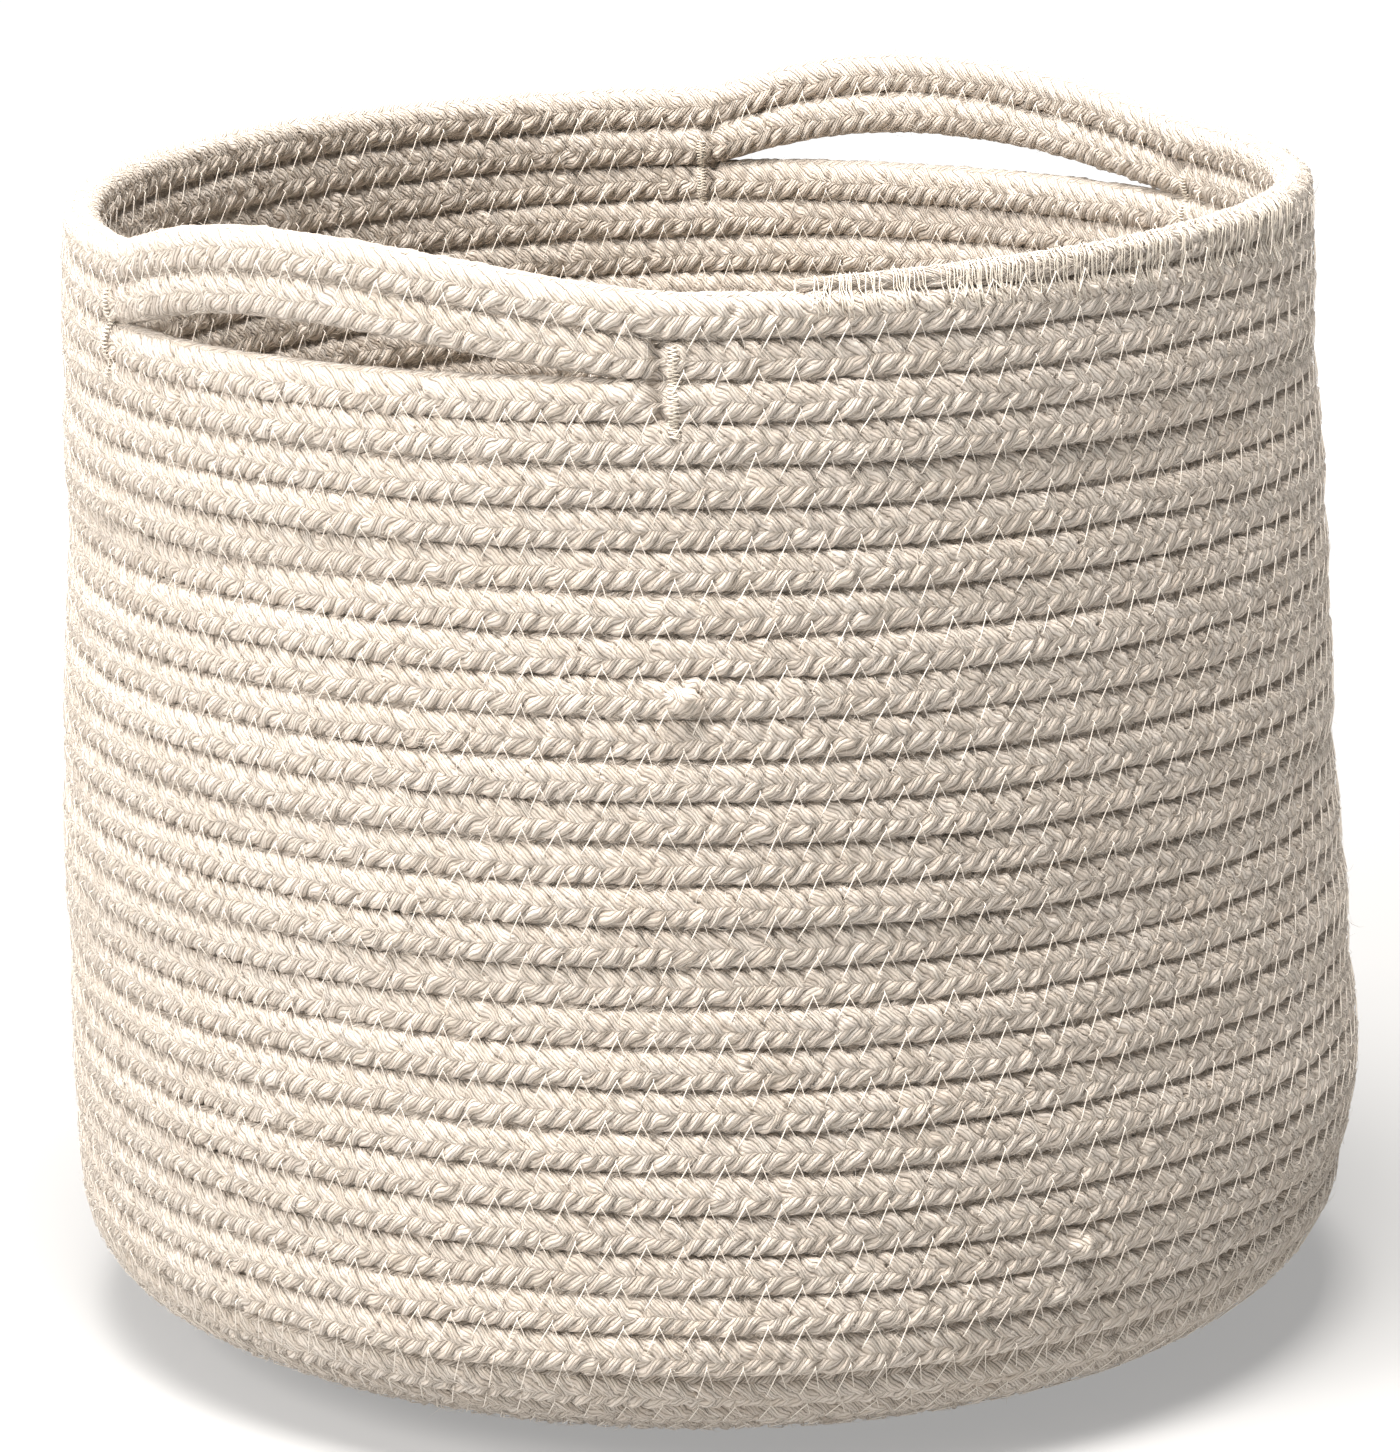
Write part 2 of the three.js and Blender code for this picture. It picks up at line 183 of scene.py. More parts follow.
def place(t, n, d):
    """t turns along the rope, n mm out of the wall, d mm down the wall from the
    rope's own centre -> x, y, z in mm.  Arrays of one shape."""
    a = A_END + 2 * PI * t
    s = PITCH * t
    # the tapered end tucks down on to the course below
    f = np.clip(t / TAPER, 0, 1)
    s = s + 3.4 * (1 - f) ** 1.4
    wav = 0.45 * low_noise(a, 11, 4, 2 * PI) + 0.35 * low_noise(t, 12, 5, 7.3)
    s = s + wav * np.clip((t - 0.5) * 0 + 1, 0, 1)
    s = np.minimum(s, LENGTH - 0.3)
    r, z, tr, tz, nr, nz = line(s)
    # in the middle of the base the coil closes on itself
    rr = r + n * nr + d * tr
    zz = z + n * nz + d * tz
    rr = rr + 0.8 * low_noise(a + 0.6 * t, 21, 2, 2 * PI) * np.clip((r - 40) / 100, 0, 1)
    rr = rr + 0.35 * low_noise(t, 22, 6, 3.1) * np.clip((r - 40) / 100, 0, 1)
    rr = rr + OVAL * np.cos(2 * (a - OVAL_DIR)) * np.clip((110 - zz) / 80, 0, 1) * np.clip((r - 90) / 75, 0, 1)
    belly = BULGE * np.exp(-((zz - 66) / 28) ** 2) - TUCK * np.clip((45 - zz) / 45, 0, 1) * np.clip((r - 90) / 75, 0, 1)
    rr = rr + belly * np.clip(np.cos(a - BULGE_DIR), 0, 1) ** 2
    k = np.clip((zz - RISE_FROM) / (RIM_H - RISE_FROM), 0, 1.2)
    rise = (RISE[0] + RISE[1] * np.cos(a) + RISE[2] * np.sin(a) + RISE[3] * np.cos(2 * a) + RISE[4] * np.sin(2 * a)) * k
    high = np.where(np.cos(a) > 0, LIFT_FRONT, LIFT_REAR)
    lift = high * arch(a) * (t < 2.05) - SILL_SAG * arch(a) * (t >= 2.05) * np.clip(1 - (t - 3) / 2.5, 0, 1)
    shift = LEAN * np.clip((zz - 50) / (RIM_H - 50), 0, 2)
    x = rr * np.sin(a) + shift * math.sin(LEAN_DIR)
    y = -rr * np.cos(a) - shift * math.cos(LEAN_DIR)
    return x, y, zz + rise + lift


# arc length along the rope's centre and along the seam below it
_T = np.linspace(-0.02, T_END + 1.2, 60000)
_x, _y, _z = place(_T, 0 * _T, 0 * _T)
_L = np.concatenate([[0], np.cumsum(np.sqrt(np.diff(_x) ** 2 + np.diff(_y) ** 2 + np.diff(_z) ** 2))])
_L -= np.interp(0, _T, _L)
_x, _y, _z = place(_T, 0 * _T, 0 * _T + PITCH / 2)
_LS = np.concatenate([[0], np.cumsum(np.sqrt(np.diff(_x) ** 2 + np.diff(_y) ** 2))])


def rope_len(t):
    return np.interp(t, _T, _L)


def turn_at(l):
    return np.interp(l, _L, _T)


def seam_phase(t):
    return np.interp(t, _T, _LS) / STITCH


def seam_turn(ph):
    return np.interp(ph * STITCH, _LS, _T)


# ------------------------------------------------------------ the braid
def hash01(i, seed):
    v = np.sin(i * 12.9898 + seed * 78.233) * 43758.5453
    return v - np.floor(v)


W_COL = 2 * PI / NCOL * (HALF_T + HALF_H) / 2
SLUBS = [(9.972, 0.0, 4.4, 3.6), (24.061, 0.0, 3.8, 2.8), (0.940, 0.0, 2.8, 1.5), (2.897, -0.15, 3.0, 1.5),
         (5.31, 0.3, 2.4, 0.8), (12.62, -0.3, 2.6, 0.8), (15.35, 0.2, 2.2, 0.9), (17.93, 0.0, 2.8, 0.8), (20.46, -0.2, 2.4, 0.9)]
# (turn, angle round the rope, length mm, height mm)
DIMPLES = []   # (turn, depth mm), where a bar tack pulls the rope in


def drift(l):
    return math.radians(7) * low_noise(l, 31, 4, 610.0)


def stretch(l):
    """the braid's uneven spacing"""
    return l + 0.8 * low_noise(l, 32, 5, 97.0) + 1.5 * low_noise(l, 33, 3, 410.0)


def waver(l, th):
    """how far the strands stray along the rope, mm"""
    return 0.42 * np.sin(0.47 * l + 2.1 * np.sin(0.19 * l) + th) + 0.20 * np.sin(1.13 * l + 1.3 * np.sin(0.41 * l) - 2 * th)


def stray(l, th):
    """how far the columns stray round the rope, radians"""
    return math.radians(4.5) * np.sin(0.41 * l + 1.7 * np.sin(0.17 * l) + th) + math.radians(2.0) * np.sin(1.1 * l - th)


def col_height(c, v, ls):
    odd = c % 2
    p = ls / STRAND + np.where(odd == 1, -1.0, 1.0) * COT * W_COL * v / STRAND + 0.5 * odd
    i = np.floor(p)
    q = p - i - 0.5
    across = 1 - np.abs(2 * q) ** 2.3
    hv = hash01(i + 17 * c, 1)
    along = 1 - ((v - 0.5) / 0.70) ** 2
    return (across * np.clip(along, -0.2, 1)) * (0.72 + 0.56 * hv) - 0.05 * (np.abs(v - 0.5) > 0.5)


def relief(t, th):
    """height of the braid over the plain rope, mm"""
    l = rope_len(t)
    ls = stretch(l) + waver(l, th)
    tt = (th + drift(l) + stray(l, th)) % (2 * PI)
    V = tt / (2 * PI / NCOL)
    c = np.floor(V).astype(int) % NCOL
    v = V - np.floor(V)
    h = col_height(c, v, ls)
    up = v > 0.5
    c2 = np.where(up, (c + 1) % NCOL, (c - 1) % NCOL)
    v2 = np.where(up, v - 1, v + 1)
    h = np.maximum(h, col_height(c2, v2, ls))
    out = 1.45 * h - 1.0
    # the needle's dimples, above and below each seam
    for side in (0, 1):
        for which in (0, 1):
            th0 = math.radians(-22 if which == 0 else 20)
            if side:
                th0 = PI - th0
            if which == 0:
                ph = seam_phase(t)
            else:
                ph = seam_phase(t - 1) + (2.9 if side == 0 else -2.9) / STITCH
            dl = (ph - np.round(ph)) * STITCH
            dw = wrap(th - th0) * 4.9
            k = np.round(ph)
            out = out - (0.45 + 0.35 * which) * (0.6 + 1.6 * hash01(k, 7 + which)) * np.exp(-(dl / 0.9) ** 2 - (dw / 0.95) ** 2)
    out = out + 0.22 * np.sin(ls * 0.95 + 2 * th) * np.sin(ls * 0.53 - 3 * th + 1.0) + 0.10 * np.sin(ls * 2.1 - 4 * th)
    for (ts, dep) in DIMPLES:
        dl = (t - ts) * 2 * PI * 160
        out = out - dep * np.exp(-(dl / 1.7) ** 2)
    for (ts, ths, ln, ht) in SLUBS:
        dl = (t - ts) * 2 * PI * 165
        dw = wrap(th - ths) * 4.9
        out = out + ht * np.clip(1 - (dl / ln) ** 2 - (dw / (ln * 0.62)) ** 2, 0, 1) ** 0.6
    return out


def swell(t):
    """slow change in the rope's thickness"""
    l = rope_len(t)
    return 1 + 0.018 * low_noise(l, 41, 4, 240.0) + 0.015 * low_noise(l, 42, 5, 61.0)


def rope_point(t, th, extra=0.0, braid=True):
    f = np.clip(t / TAPER, 0, 1)
    size = (0.30 + 0.70 * f ** 0.8) * swell(t)
    end = np.clip((T_END - t) / 0.05, 0, 1)
    size = size * (0.45 + 0.55 * end)
    h = relief(t, th) * size if braid else -0.1
    ct, st = np.cos(th), np.sin(th)
    # a slightly squared oval, since the turns press on each other
    e = 2.2
    k = (np.abs(ct) ** e + np.abs(st) ** e) ** (-1 / e)
    n = HALF_T * size * k * ct
    d = -HALF_H * size * k * st
    nx, dx = ct / HALF_T, -st / HALF_H
    m = np.hypot(nx, dx)
    # no relief where the turns touch
    touch = 1 - 0.75 * np.clip((np.abs(st) - 0.90) / 0.1, 0, 1)
    h = h * touch
    n = n + (h + extra) * nx / m
    d = d + (h + extra) * dx / m
    return place(t, n, d)


def even_theta(nout, nin, nc):
    """angles round the rope: fine where it is seen"""
    lim = math.radians(68)
    a = np.linspace(-lim, lim, nout, endpoint=False)
    b = np.linspace(lim, PI - lim, nc, endpoint=False)
    c = np.linspace(PI - lim, PI + lim, nin, endpoint=False)
    d = np.linspace(PI + lim, 2 * PI - lim, nc, endpoint=False)
    return np.concatenate([a, b, c, d])


# ------------------------------------------------------------ mesh helpers
def make_mesh(name, V, F4, F3=None):
    """V (n,3) in mm; F4 (m,4), F3 (k,3)"""
    me = bpy.data.meshes.new(name)
    V = np.asarray(V, np.float32) * MM
    me.vertices.add(len(V))
    me.vertices.foreach_set("co", V.ravel())
    loops = [np.asarray(F4, np.int32).ravel()]
    starts = [np.arange(len(F4), dtype=np.int32) * 4]
    if F3 is not None and len(F3):
        base = len(F4) * 4
        loops.append(np.asarray(F3, np.int32).ravel())
        starts.append(base + np.arange(len(F3), dtype=np.int32) * 3)
    loops = np.concatenate(loops)
    starts = np.concatenate(starts)
    me.loops.add(len(loops))
    me.loops.foreach_set("vertex_index", loops)
    me.polygons.add(len(starts))
    me.polygons.foreach_set("loop_start", starts)
    me.update(calc_edges=True)
    me.polygons.foreach_set("use_smooth", np.ones(len(starts), bool))
    ob = bpy.data.objects.new(name, me)
    bpy.context.scene.collection.objects.link(ob)
    return ob, loops


def set_uv(me, name, uv):
    layer = me.uv_layers.new(name=name)
    layer.data.foreach_set("uv", np.asarray(uv, np.float32).ravel())
    return layer


DL = 0.72
TH_OUT = even_theta(12, 10, 3)
TH_IN = even_theta(6, 14, 3)


def rope_piece(name, t0, t1, theta=None):
    th = TH_OUT if theta is None else theta
    nt = len(th)
    l0, l1 = rope_len(t0), rope_len(t1)
    n = max(8, int(round((l1 - l0) / DL)))
    t = turn_at(np.linspace(l0, l1, n + 1))
    t[0], t[-1] = t0, t1
    T, TH = np.meshgrid(t, th, indexing="ij")
    x, y, z = rope_point(T, TH)
    V = np.stack([x, y, z], -1).reshape(-1, 3)
    i = np.arange(n)[:, None] * nt
    j = np.arange(nt)[None, :]
    jn = (j + 1) % nt
    F = np.stack([i + j, i + nt + j, i + nt + jn, i + jn], -1).reshape(-1, 4)
    # caps
    c0 = V[:nt].mean(0)
    c1 = V[-nt:].mean(0)
    nv = len(V)
    V = np.concatenate([V, V[:nt], V[nv - nt:nv], [c0, c1]])
    k = np.arange(nt)
    kn = (k + 1) % nt
    F3 = np.concatenate([np.stack([np.full(nt, len(V) - 2), nv + k, nv + kn], -1),
                         np.stack([np.full(nt, len(V) - 1), nv + nt + kn, nv + nt + k], -1)])
    ob, loops = make_mesh(name, V, F, F3)
    me = ob.data
    # rope coordinates: strands along, columns round
    l = rope_len(t)
    u = stretch(l) / STRAND
    dr = drift(l)
    thn = np.append(th, th[0] + 2 * PI)
    vv = (thn[None, :] + dr[:, None] + stray(l[:, None], thn[None, :]) + 2 * PI) / (2 * PI / NCOL)
    uu = u[:, None] + waver(l[:, None], thn[None, :]) / STRAND
    ii = np.repeat(np.arange(n), nt)
    jj = np.tile(np.arange(nt), n)
    UU = np.stack([uu[ii, jj], uu[ii + 1, jj], uu[ii + 1, jj + 1], uu[ii, jj + 1]], -1)
    VV = np.stack([vv[ii, jj], vv[ii + 1, jj], vv[ii + 1, jj + 1], vv[ii, jj + 1]], -1)
    uv = np.stack([UU, VV], -1).reshape(-1, 2)
    cap = np.zeros((2 * nt * 3, 2))
    cap[:, 0] = u[0]
    cap[:, 1] = NCOL + 0.5
    cap[nt * 3:, 0] = u[-1]
    set_uv(me, "Rope", np.concatenate([uv, cap]))
    # the strip layout for the texture maps
    circ = 31.0
    L = l[-1] - l[0]
    K = max(1, int(round(math.sqrt(L / circ))))
    per = int(math.ceil(n / K))
    row = ii // per
    colf = (ii - row * per) / per
    colf1 = (ii - row * per + 1) / per
    wth = (thn - thn[0]) / (2 * PI)
    m = 0.06
    def vrow(jv):
        return (row + m + (1 - 2 * m) * wth[jv]) / K
    mu = 0.004
    ua, ub = mu + (1 - 2 * mu) * colf, mu + (1 - 2 * mu) * colf1
    uv2 = np.stack([np.stack([ua, ub, ub, ua], -1), np.stack([vrow(jj), vrow(jj), vrow(jj + 1), vrow(jj + 1)], -1)], -1).reshape(-1, 2)
    cap2 = np.tile(np.array([[0.001, 0.0], [0.002, 0.0], [0.002, 0.001]]), (2 * nt, 1))
    set_uv(me, "OFBake", np.concatenate([uv2, cap2]))
    me.uv_layers.active = me.uv_layers["Rope"]
    me.uv_layers["Rope"].active_render = True
    return ob


# ------------------------------------------------------------ materials
def nodes_of(mat):
    mat.use_nodes = True
    nt = mat.node_tree
    nt.nodes.clear()
    return nt


class NB:
    """short hand for node graphs"""
    def __init__(self, nt):
        self.nt = nt

    def new(self, kind, **kw):
        n = self.nt.nodes.new(kind)
        for k, v in kw.items():
            setattr(n, k, v)
        return n

    def link(self, a, b):
        self.nt.links.new(a, b)

    def math(self, op, a, b=None, c=None, clamp=False):
        n = self.new("ShaderNodeMath", operation=op, use_clamp=clamp)
        for i, x in enumerate((a, b, c)):
            if x is None:
                continue
            if isinstance(x, (int, float)):
                n.inputs[i].default_value = x
            else:
                self.link(x, n.inputs[i])
        return n.outputs[0]

    def mix(self, fac, a, b):
        n = self.new("ShaderNodeMix", data_type="RGBA")
        for i, x in ((0, fac), (6, a), (7, b)):
            if isinstance(x, (int, float)):
                n.inputs[i].default_value = x
            elif isinstance(x, tuple):
                n.inputs[i].default_value = (*x, 1) if len(x) == 3 else x
            else:
                self.link(x, n.inputs[i])
        return n.outputs[2]

    def ramp(self, fac, stops):
        n = self.new("ShaderNodeValToRGB")
        e = n.color_ramp.elements
        while len(e) < len(stops):
            e.new(0.5)
        for i, (p, c) in enumerate(stops):
            e[i].position = p
            e[i].color = (*c, 1)
        self.link(fac, n.inputs[0])
        return n.outputs[0]


BASE = (0.680, 0.597, 0.520)


def rope_material():
    mat = bpy.data.materials.new("rope_cotton_look")
    nt = nodes_of(mat)
    b = NB(nt)
    uv = b.new("ShaderNodeUVMap", uv_map="Rope")
    sep = b.new("ShaderNodeSeparateXYZ")
    b.link(uv.outputs[0], sep.inputs[0])
    U, V = sep.outputs[0], sep.outputs[1]
    col = b.math("FLOOR", V)
    vf = b.math("FRACT", V)
    par = b.math("MODULO", col, 2.0)
    par = b.math("ABSOLUTE", par)
    sg = b.math("MULTIPLY_ADD", par, -2.0, 1.0)
    sl = b.math("MULTIPLY", sg, vf)
    p = b.math("MULTIPLY_ADD", sl, COT * W_COL / STRAND, U)
    p = b.math("MULTIPLY_ADD", par, 0.5, p)
    # across the strand, -0.5..0.5, and its number
    i = b.math("FLOOR", p)
    q = b.math("SUBTRACT", b.math("FRACT", p), 0.5)
    edge = b.math("MULTIPLY", b.math("ABSOLUTE", q), 2.0)
    ve = b.math("MULTIPLY", b.math("ABSOLUTE", b.math("SUBTRACT", vf, 0.5)), 2.0)
    # four yarns in each strand, wavering a little
    co = b.new("ShaderNodeTexCoord")
    wob = b.new("ShaderNodeTexNoise")
    wob.inputs["Scale"].default_value = 420
    wob.inputs["Detail"].default_value = 2
    b.link(co.outputs["Object"], wob.inputs["Vector"])
    wv = b.math("MULTIPLY_ADD", wob.outputs["Fac"], 0.34, -0.17)
    yp = b.math("ADD", b.math("MULTIPLY", p, 4.0), b.math("MULTIPLY", wv, 2.2))
    ysin = b.math("SINE", b.math("MULTIPLY", yp, PI))
    yarn = b.math("ABSOLUTE", ysin)                # 0 in the gap, 1 on the crown
    yarn = b.math("POWER", yarn, 0.55)
    # fibres: fine noise drawn out along the strand
    yid = b.math("FLOOR", yp)
    alongc = b.math("MULTIPLY_ADD", vf, 3.2, b.math("MULTIPLY", yid, 1.37))
    comb = b.new("ShaderNodeCombineXYZ")
    b.link(b.math("MULTIPLY", p, 34.0), comb.inputs[0])
    b.link(alongc, comb.inputs[1])
    b.link(b.math("ADD", col, b.math("MULTIPLY", U, 0.11)), comb.inputs[2])
    fib = b.new("ShaderNodeTexNoise")
    fib.inputs["Scale"].default_value = 1.0
    fib.inputs["Detail"].default_value = 3
    fib.inputs["Roughness"].default_value = 0.6
    b.link(comb.outputs[0], fib.inputs["Vector"])
    fine = b.new("ShaderNodeTexNoise")
    fine.inputs["Scale"].default_value = 2600
    fine.inputs["Detail"].default_value = 2
    b.link(co.outputs["Object"], fine.inputs["Vector"])
    # slow changes of tone along the rope and over the basket
    slow = b.new("ShaderNodeTexNoise")
    slow.inputs["Scale"].default_value = 38
    slow.inputs["Detail"].default_value = 3
    b.link(co.outputs["Object"], slow.inputs["Vector"])
    tone = b.ramp(slow.outputs["Fac"], [(0.30, (0.633, 0.544, 0.463)), (0.52, BASE), (0.72, (0.718, 0.637, 0.565))])
    # each strand a little different
    wn = b.new("ShaderNodeTexWhiteNoise", noise_dimensions="2D")
    cmb2 = b.new("ShaderNodeCombineXYZ")
    b.link(i, cmb2.inputs[0])
    b.link(col, cmb2.inputs[1])
    b.link(cmb2.outputs[0], wn.inputs["Vector"])
    c1 = b.mix(b.math("MULTIPLY", wn.outputs["Value"], 0.35), tone, (0.595, 0.518, 0.429))
    wy = b.new("ShaderNodeTexWhiteNoise", noise_dimensions="2D")
    cmb3 = b.new("ShaderNodeCombineXYZ")
    b.link(yid, cmb3.inputs[0])
    b.link(col, cmb3.inputs[1])
    b.link(cmb3.outputs[0], wy.inputs["Vector"])
    c1 = b.mix(b.math("MULTIPLY", b.math("POWER", wy.outputs["Value"], 2.0), 0.75), c1, (0.828, 0.764, 0.699))
    # pale fibres
    c2 = b.mix(b.math("MULTIPLY", b.math("SUBTRACT", fib.outputs["Fac"], 0.42, clamp=True), 2.2, clamp=True), c1, (0.801, 0.734, 0.663))
    # painted shade: dark between yarns, darker between strands and at their ends
    yarn_gap_shade = b.math("SUBTRACT", 1.0, yarn)
    c3 = b.mix(b.math("MULTIPLY", yarn_gap_shade, 0.62), c2, (0.40, 0.325, 0.24))
    e2 = b.math("POWER", edge, 7.0)
    e3 = b.math("POWER", ve, 9.0)
    # painted shade in the crevices between strands and at their ends; the same mask also lowers the bump height
    edge_shade_and_bump_dip = b.math("MAXIMUM", e2, b.math("MULTIPLY", e3, 0.7))
    c4 = b.mix(b.math("MULTIPLY", edge_shade_and_bump_dip, 0.48), c3, (0.30, 0.235, 0.17))
    # bits of seed husk
    sd = b.new("ShaderNodeTexVoronoi", feature="F1", voronoi_dimensions="3D")
    sd.inputs["Scale"].default_value = 105
    b.link(co.outputs["Object"], sd.inputs["Vector"])
    seed = b.math("LESS_THAN", sd.outputs["Distance"], 0.040)
    sdc = b.new("ShaderNodeSeparateColor")
    b.link(sd.outputs["Color"], sdc.inputs[0])
    seed = b.math("MULTIPLY", seed, b.math("GREATER_THAN", sdc.outputs[0], 0.45))
    c5 = b.mix(b.math("MULTIPLY", seed, 0.8), c4, (0.16, 0.11, 0.07))
    # height for the bump, in metres
    h = b.math("MULTIPLY", yarn, 0.00050)
    h = b.math("MULTIPLY_ADD", fib.outputs["Fac"], 0.00034, h)
    h = b.math("MULTIPLY_ADD", fine.outputs["Fac"], 0.00010, h)
    h = b.math("SUBTRACT", h, b.math("MULTIPLY", edge_shade_and_bump_dip, 0.00035))
    bump = b.new("ShaderNodeBump")
    bump.inputs["Strength"].default_value = 0.9
    bump.inputs["Distance"].default_value = 1.0
    b.link(h, bump.inputs["Height"])
    sh = b.new("ShaderNodeBsdfPrincipled")
    sh.inputs["Roughness"].default_value = 0.93
    sh.inputs["Specular IOR Level"].default_value = 0.18
    sh.inputs["Sheen Weight"].default_value = 0.25
    sh.inputs["Sheen Roughness"].default_value = 0.5
    sh.inputs["Sheen Tint"].default_value = (1.0, 0.97, 0.92, 1)
    b.link(c5, sh.inputs["Base Color"])
    b.link(bump.outputs[0], sh.inputs["Normal"])
    out = b.new("ShaderNodeOutputMaterial")
    b.link(sh.outputs[0], out.inputs[0])
    return mat


def thread_material(name="seam_thread_look", c=(0.90, 0.83, 0.74), rough=0.6):
    mat = bpy.data.materials.new(name)
    nt = nodes_of(mat)
    b = NB(nt)
    co = b.new("ShaderNodeTexCoord")
    n = b.new("ShaderNodeTexNoise")
    n.inputs["Scale"].default_value = 900
    n.inputs["Detail"].default_value = 2
    b.link(co.outputs["Object"], n.inputs["Vector"])
    colr = b.ramp(n.outputs["Fac"], [(0.3, tuple(x * 0.84 for x in c)), (0.7, c)])
    bump = b.new("ShaderNodeBump")
    bump.inputs["Strength"].default_value = 0.6
    bump.inputs["Distance"].default_value = 0.00006
    b.link(n.outputs["Fac"], bump.inputs["Height"])
    sh = b.new("ShaderNodeBsdfPrincipled")
    sh.inputs["Roughness"].default_value = rough
    sh.inputs["Specular IOR Level"].default_value = 0.35
    sh.inputs["Sheen Weight"].default_value = 0.15
    b.link(colr, sh.inputs["Base Color"])
    b.link(bump.outputs[0], sh.inputs["Normal"])
    out = b.new("ShaderNodeOutputMaterial")
    b.link(sh.outputs[0], out.inputs[0])
    return mat


ROPE = rope_material()
THREAD = thread_material()
TACK = thread_material("tack_thread_look", (0.78, 0.71, 0.61), 0.7)

# ------------------------------------------------------------ camera
CAM_AZ, CAM_EL, CAM_ROLL = math.radians(32.0), math.radians(12.03), math.radians(-0.65)
CAM_D, CAM_F, CAM_OX, CAM_Z = 1353.6, 5015.5, 5.5, 152.1
IMG_W, IMG_H = 1400, 1452


def make_camera():
    cam = bpy.data.cameras.new("camera")
    cam.sensor_fit = "AUTO"
    cam.sensor_width = 36.0
    cam.lens = CAM_F / IMG_H * 36.0
    cam.clip_start, cam.clip_end = 0.05, 30
    ob = bpy.data.objects.new("camera", cam)
    bpy.context.scene.collection.objects.link(ob)
    back = Vector((math.sin(CAM_AZ) * math.cos(CAM_EL), -math.cos(CAM_AZ) * math.cos(CAM_EL), math.sin(CAM_EL)))
    right = Vector((math.cos(CAM_AZ), math.sin(CAM_AZ), 0))
    up = back.cross(right)
    r2 = right * math.cos(CAM_ROLL) + up * math.sin(CAM_ROLL)
    u2 = up * math.cos(CAM_ROLL) - right * math.sin(CAM_ROLL)
    pos = Vector((0, 0, CAM_Z)) + back * CAM_D - r2 * (CAM_OX / CAM_F * CAM_D)
    m = Matrix(((r2.x, u2.x, back.x, pos.x * MM), (r2.y, u2.y, back.y, pos.y * MM), (r2.z, u2.z, back.z, pos.z * MM), (0, 0, 0, 1)))
    ob.matrix_world = m
    bpy.context.scene.camera = ob
    return ob


CAMERA = make_camera()

# ------------------------------------------------------------ the rope
T_FR0 = (2 * PI - SLOT_HALF - A_END) / (2 * PI)     # start of the front handle, in turns
T_FR1 = (2 * PI + SLOT_HALF - A_END) / (2 * PI)
T_RE0 = (PI - SLOT_HALF - A_END) / (2 * PI)
T_RE1 = (PI + SLOT_HALF - A_END) / (2 * PI)


def finish_piece(ob, mat, body=None, handle=None, replaces=()):
    ob.data.materials.clear()
    ob.data.materials.append(mat)
    if handle == "front":
        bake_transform(ob)
    elif handle == "rear":
        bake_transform(ob)
    else:
        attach(ob, body or "basket")
    if replaces:
        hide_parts(*replaces)
    return ob


def rope(name, t0, t1, replaces=(), handle=None, theta=None):
    ob = rope_piece(name, t0, t1, theta)
    return finish_piece(ob, ROPE, handle=handle, replaces=replaces)


_W = 1.6 / (2 * PI * 160)
for _k, _dep in ((1, 1.5), (2, 1.9)):
    DIMPLES += [(_k + T_FR0 + _W, _dep), (_k + T_FR1 - _W, _dep + 1.3), (_k + T_RE0 + _W, _dep), (_k + T_RE1 - _W, _dep)]

rope("rope_rim_right_upper", 0.0, T_RE0, ["rim_right_upper_course"])
rope("rope_handle_rear_upper", T_RE0, T_RE1, ["handle_rear_upper_course"], handle="rear")
rope("rope_rim_left_upper", T_RE1, T_FR0, ["rim_left_upper_course"])
rope("rope_handle_front_upper", T_FR0, T_FR1, ["handle_front_upper_course"], handle="front")
rope("rope_rim_right_lower", T_FR1, 1 + T_RE0, ["rim_right_lower_course"])
rope("rope_handle_rear_lower", 1 + T_RE0, 1 + T_RE1, ["handle_rear_lower_course"], handle="rear")
rope("rope_rim_left_lower", 1 + T_RE1, 1 + T_FR0, ["rim_left_lower_course"])
rope("rope_handle_front_lower", 1 + T_FR0, 1 + T_FR1, ["handle_front_lower_course"], handle="front")
# from here on whole turns, two to a piece, cut at the same angle
T0 = 1 + T_FR1
NODES = ["sill_course", "wall_courses_04_05", "wall_courses_06_08", "wall_courses_09_11", "wall_courses_12_14",
         "wall_courses_15_17", "wall_courses_18_20", "wall_courses_21_23", "wall_courses_24_26",
         "corner_courses_27_29", "corner_courses_30_32", "corner_courses_33_36", "base_coil_outer",
         "base_coil_inner", "base_coil_centre"]
REPL = {0: ["sill_course"], 1: ["wall_courses_04_05"], 2: ["wall_courses_06_08"], 3: ["wall_courses_09_11"], 4: [],
        5: ["wall_courses_12_14"], 6: ["wall_courses_15_17"], 7: [], 8: ["wall_courses_18_20"], 9: ["wall_courses_21_23"],
        10: [], 11: ["wall_courses_24_26"], 12: ["corner_courses_27_29"]}
CUTS = [T0, T0 + 1]
while CUTS[-1] + 2 < 27:
    CUTS.append(CUTS[-1] + 2)
CUTS += [CUTS[-1] + 2, CUTS[-1] + 5]
CUTS += [CUTS[-1] + 3, CUTS[-1] + 6]
CUTS = [c for c in CUTS if c < T_END - 2] + [T_END]
left = list(NODES)
for i in range(len(CUTS) - 1):
    c0, c1 = CUTS[i], CUTS[i + 1]
    rep = []
    # the frame's bands that begin inside this stretch
    for nme in list(left):
        if nme == "sill_course":
            k = 2
        elif nme.startswith("base_coil"):
            k = {"base_coil_outer": 36, "base_coil_inner": 40, "base_coil_centre": 43}[nme]
        else:
            k = int(nme.split("_")[2]) - 1
        if k < c1 - 0.2 or i == len(CUTS) - 2:
            rep.append(nme)
            left.remove(nme)
    th = TH_OUT if c0 < 29 else TH_IN
    nm = "rope_sill_turn" if i == 0 else ("rope_wall_turns_%02d" % i if c0 < 25 else ("rope_corner_turns_%02d" % i if c1 < 36.5 else "rope_base_turns_%02d" % i))
    rope(nm, c0, c1, rep, theta=th)


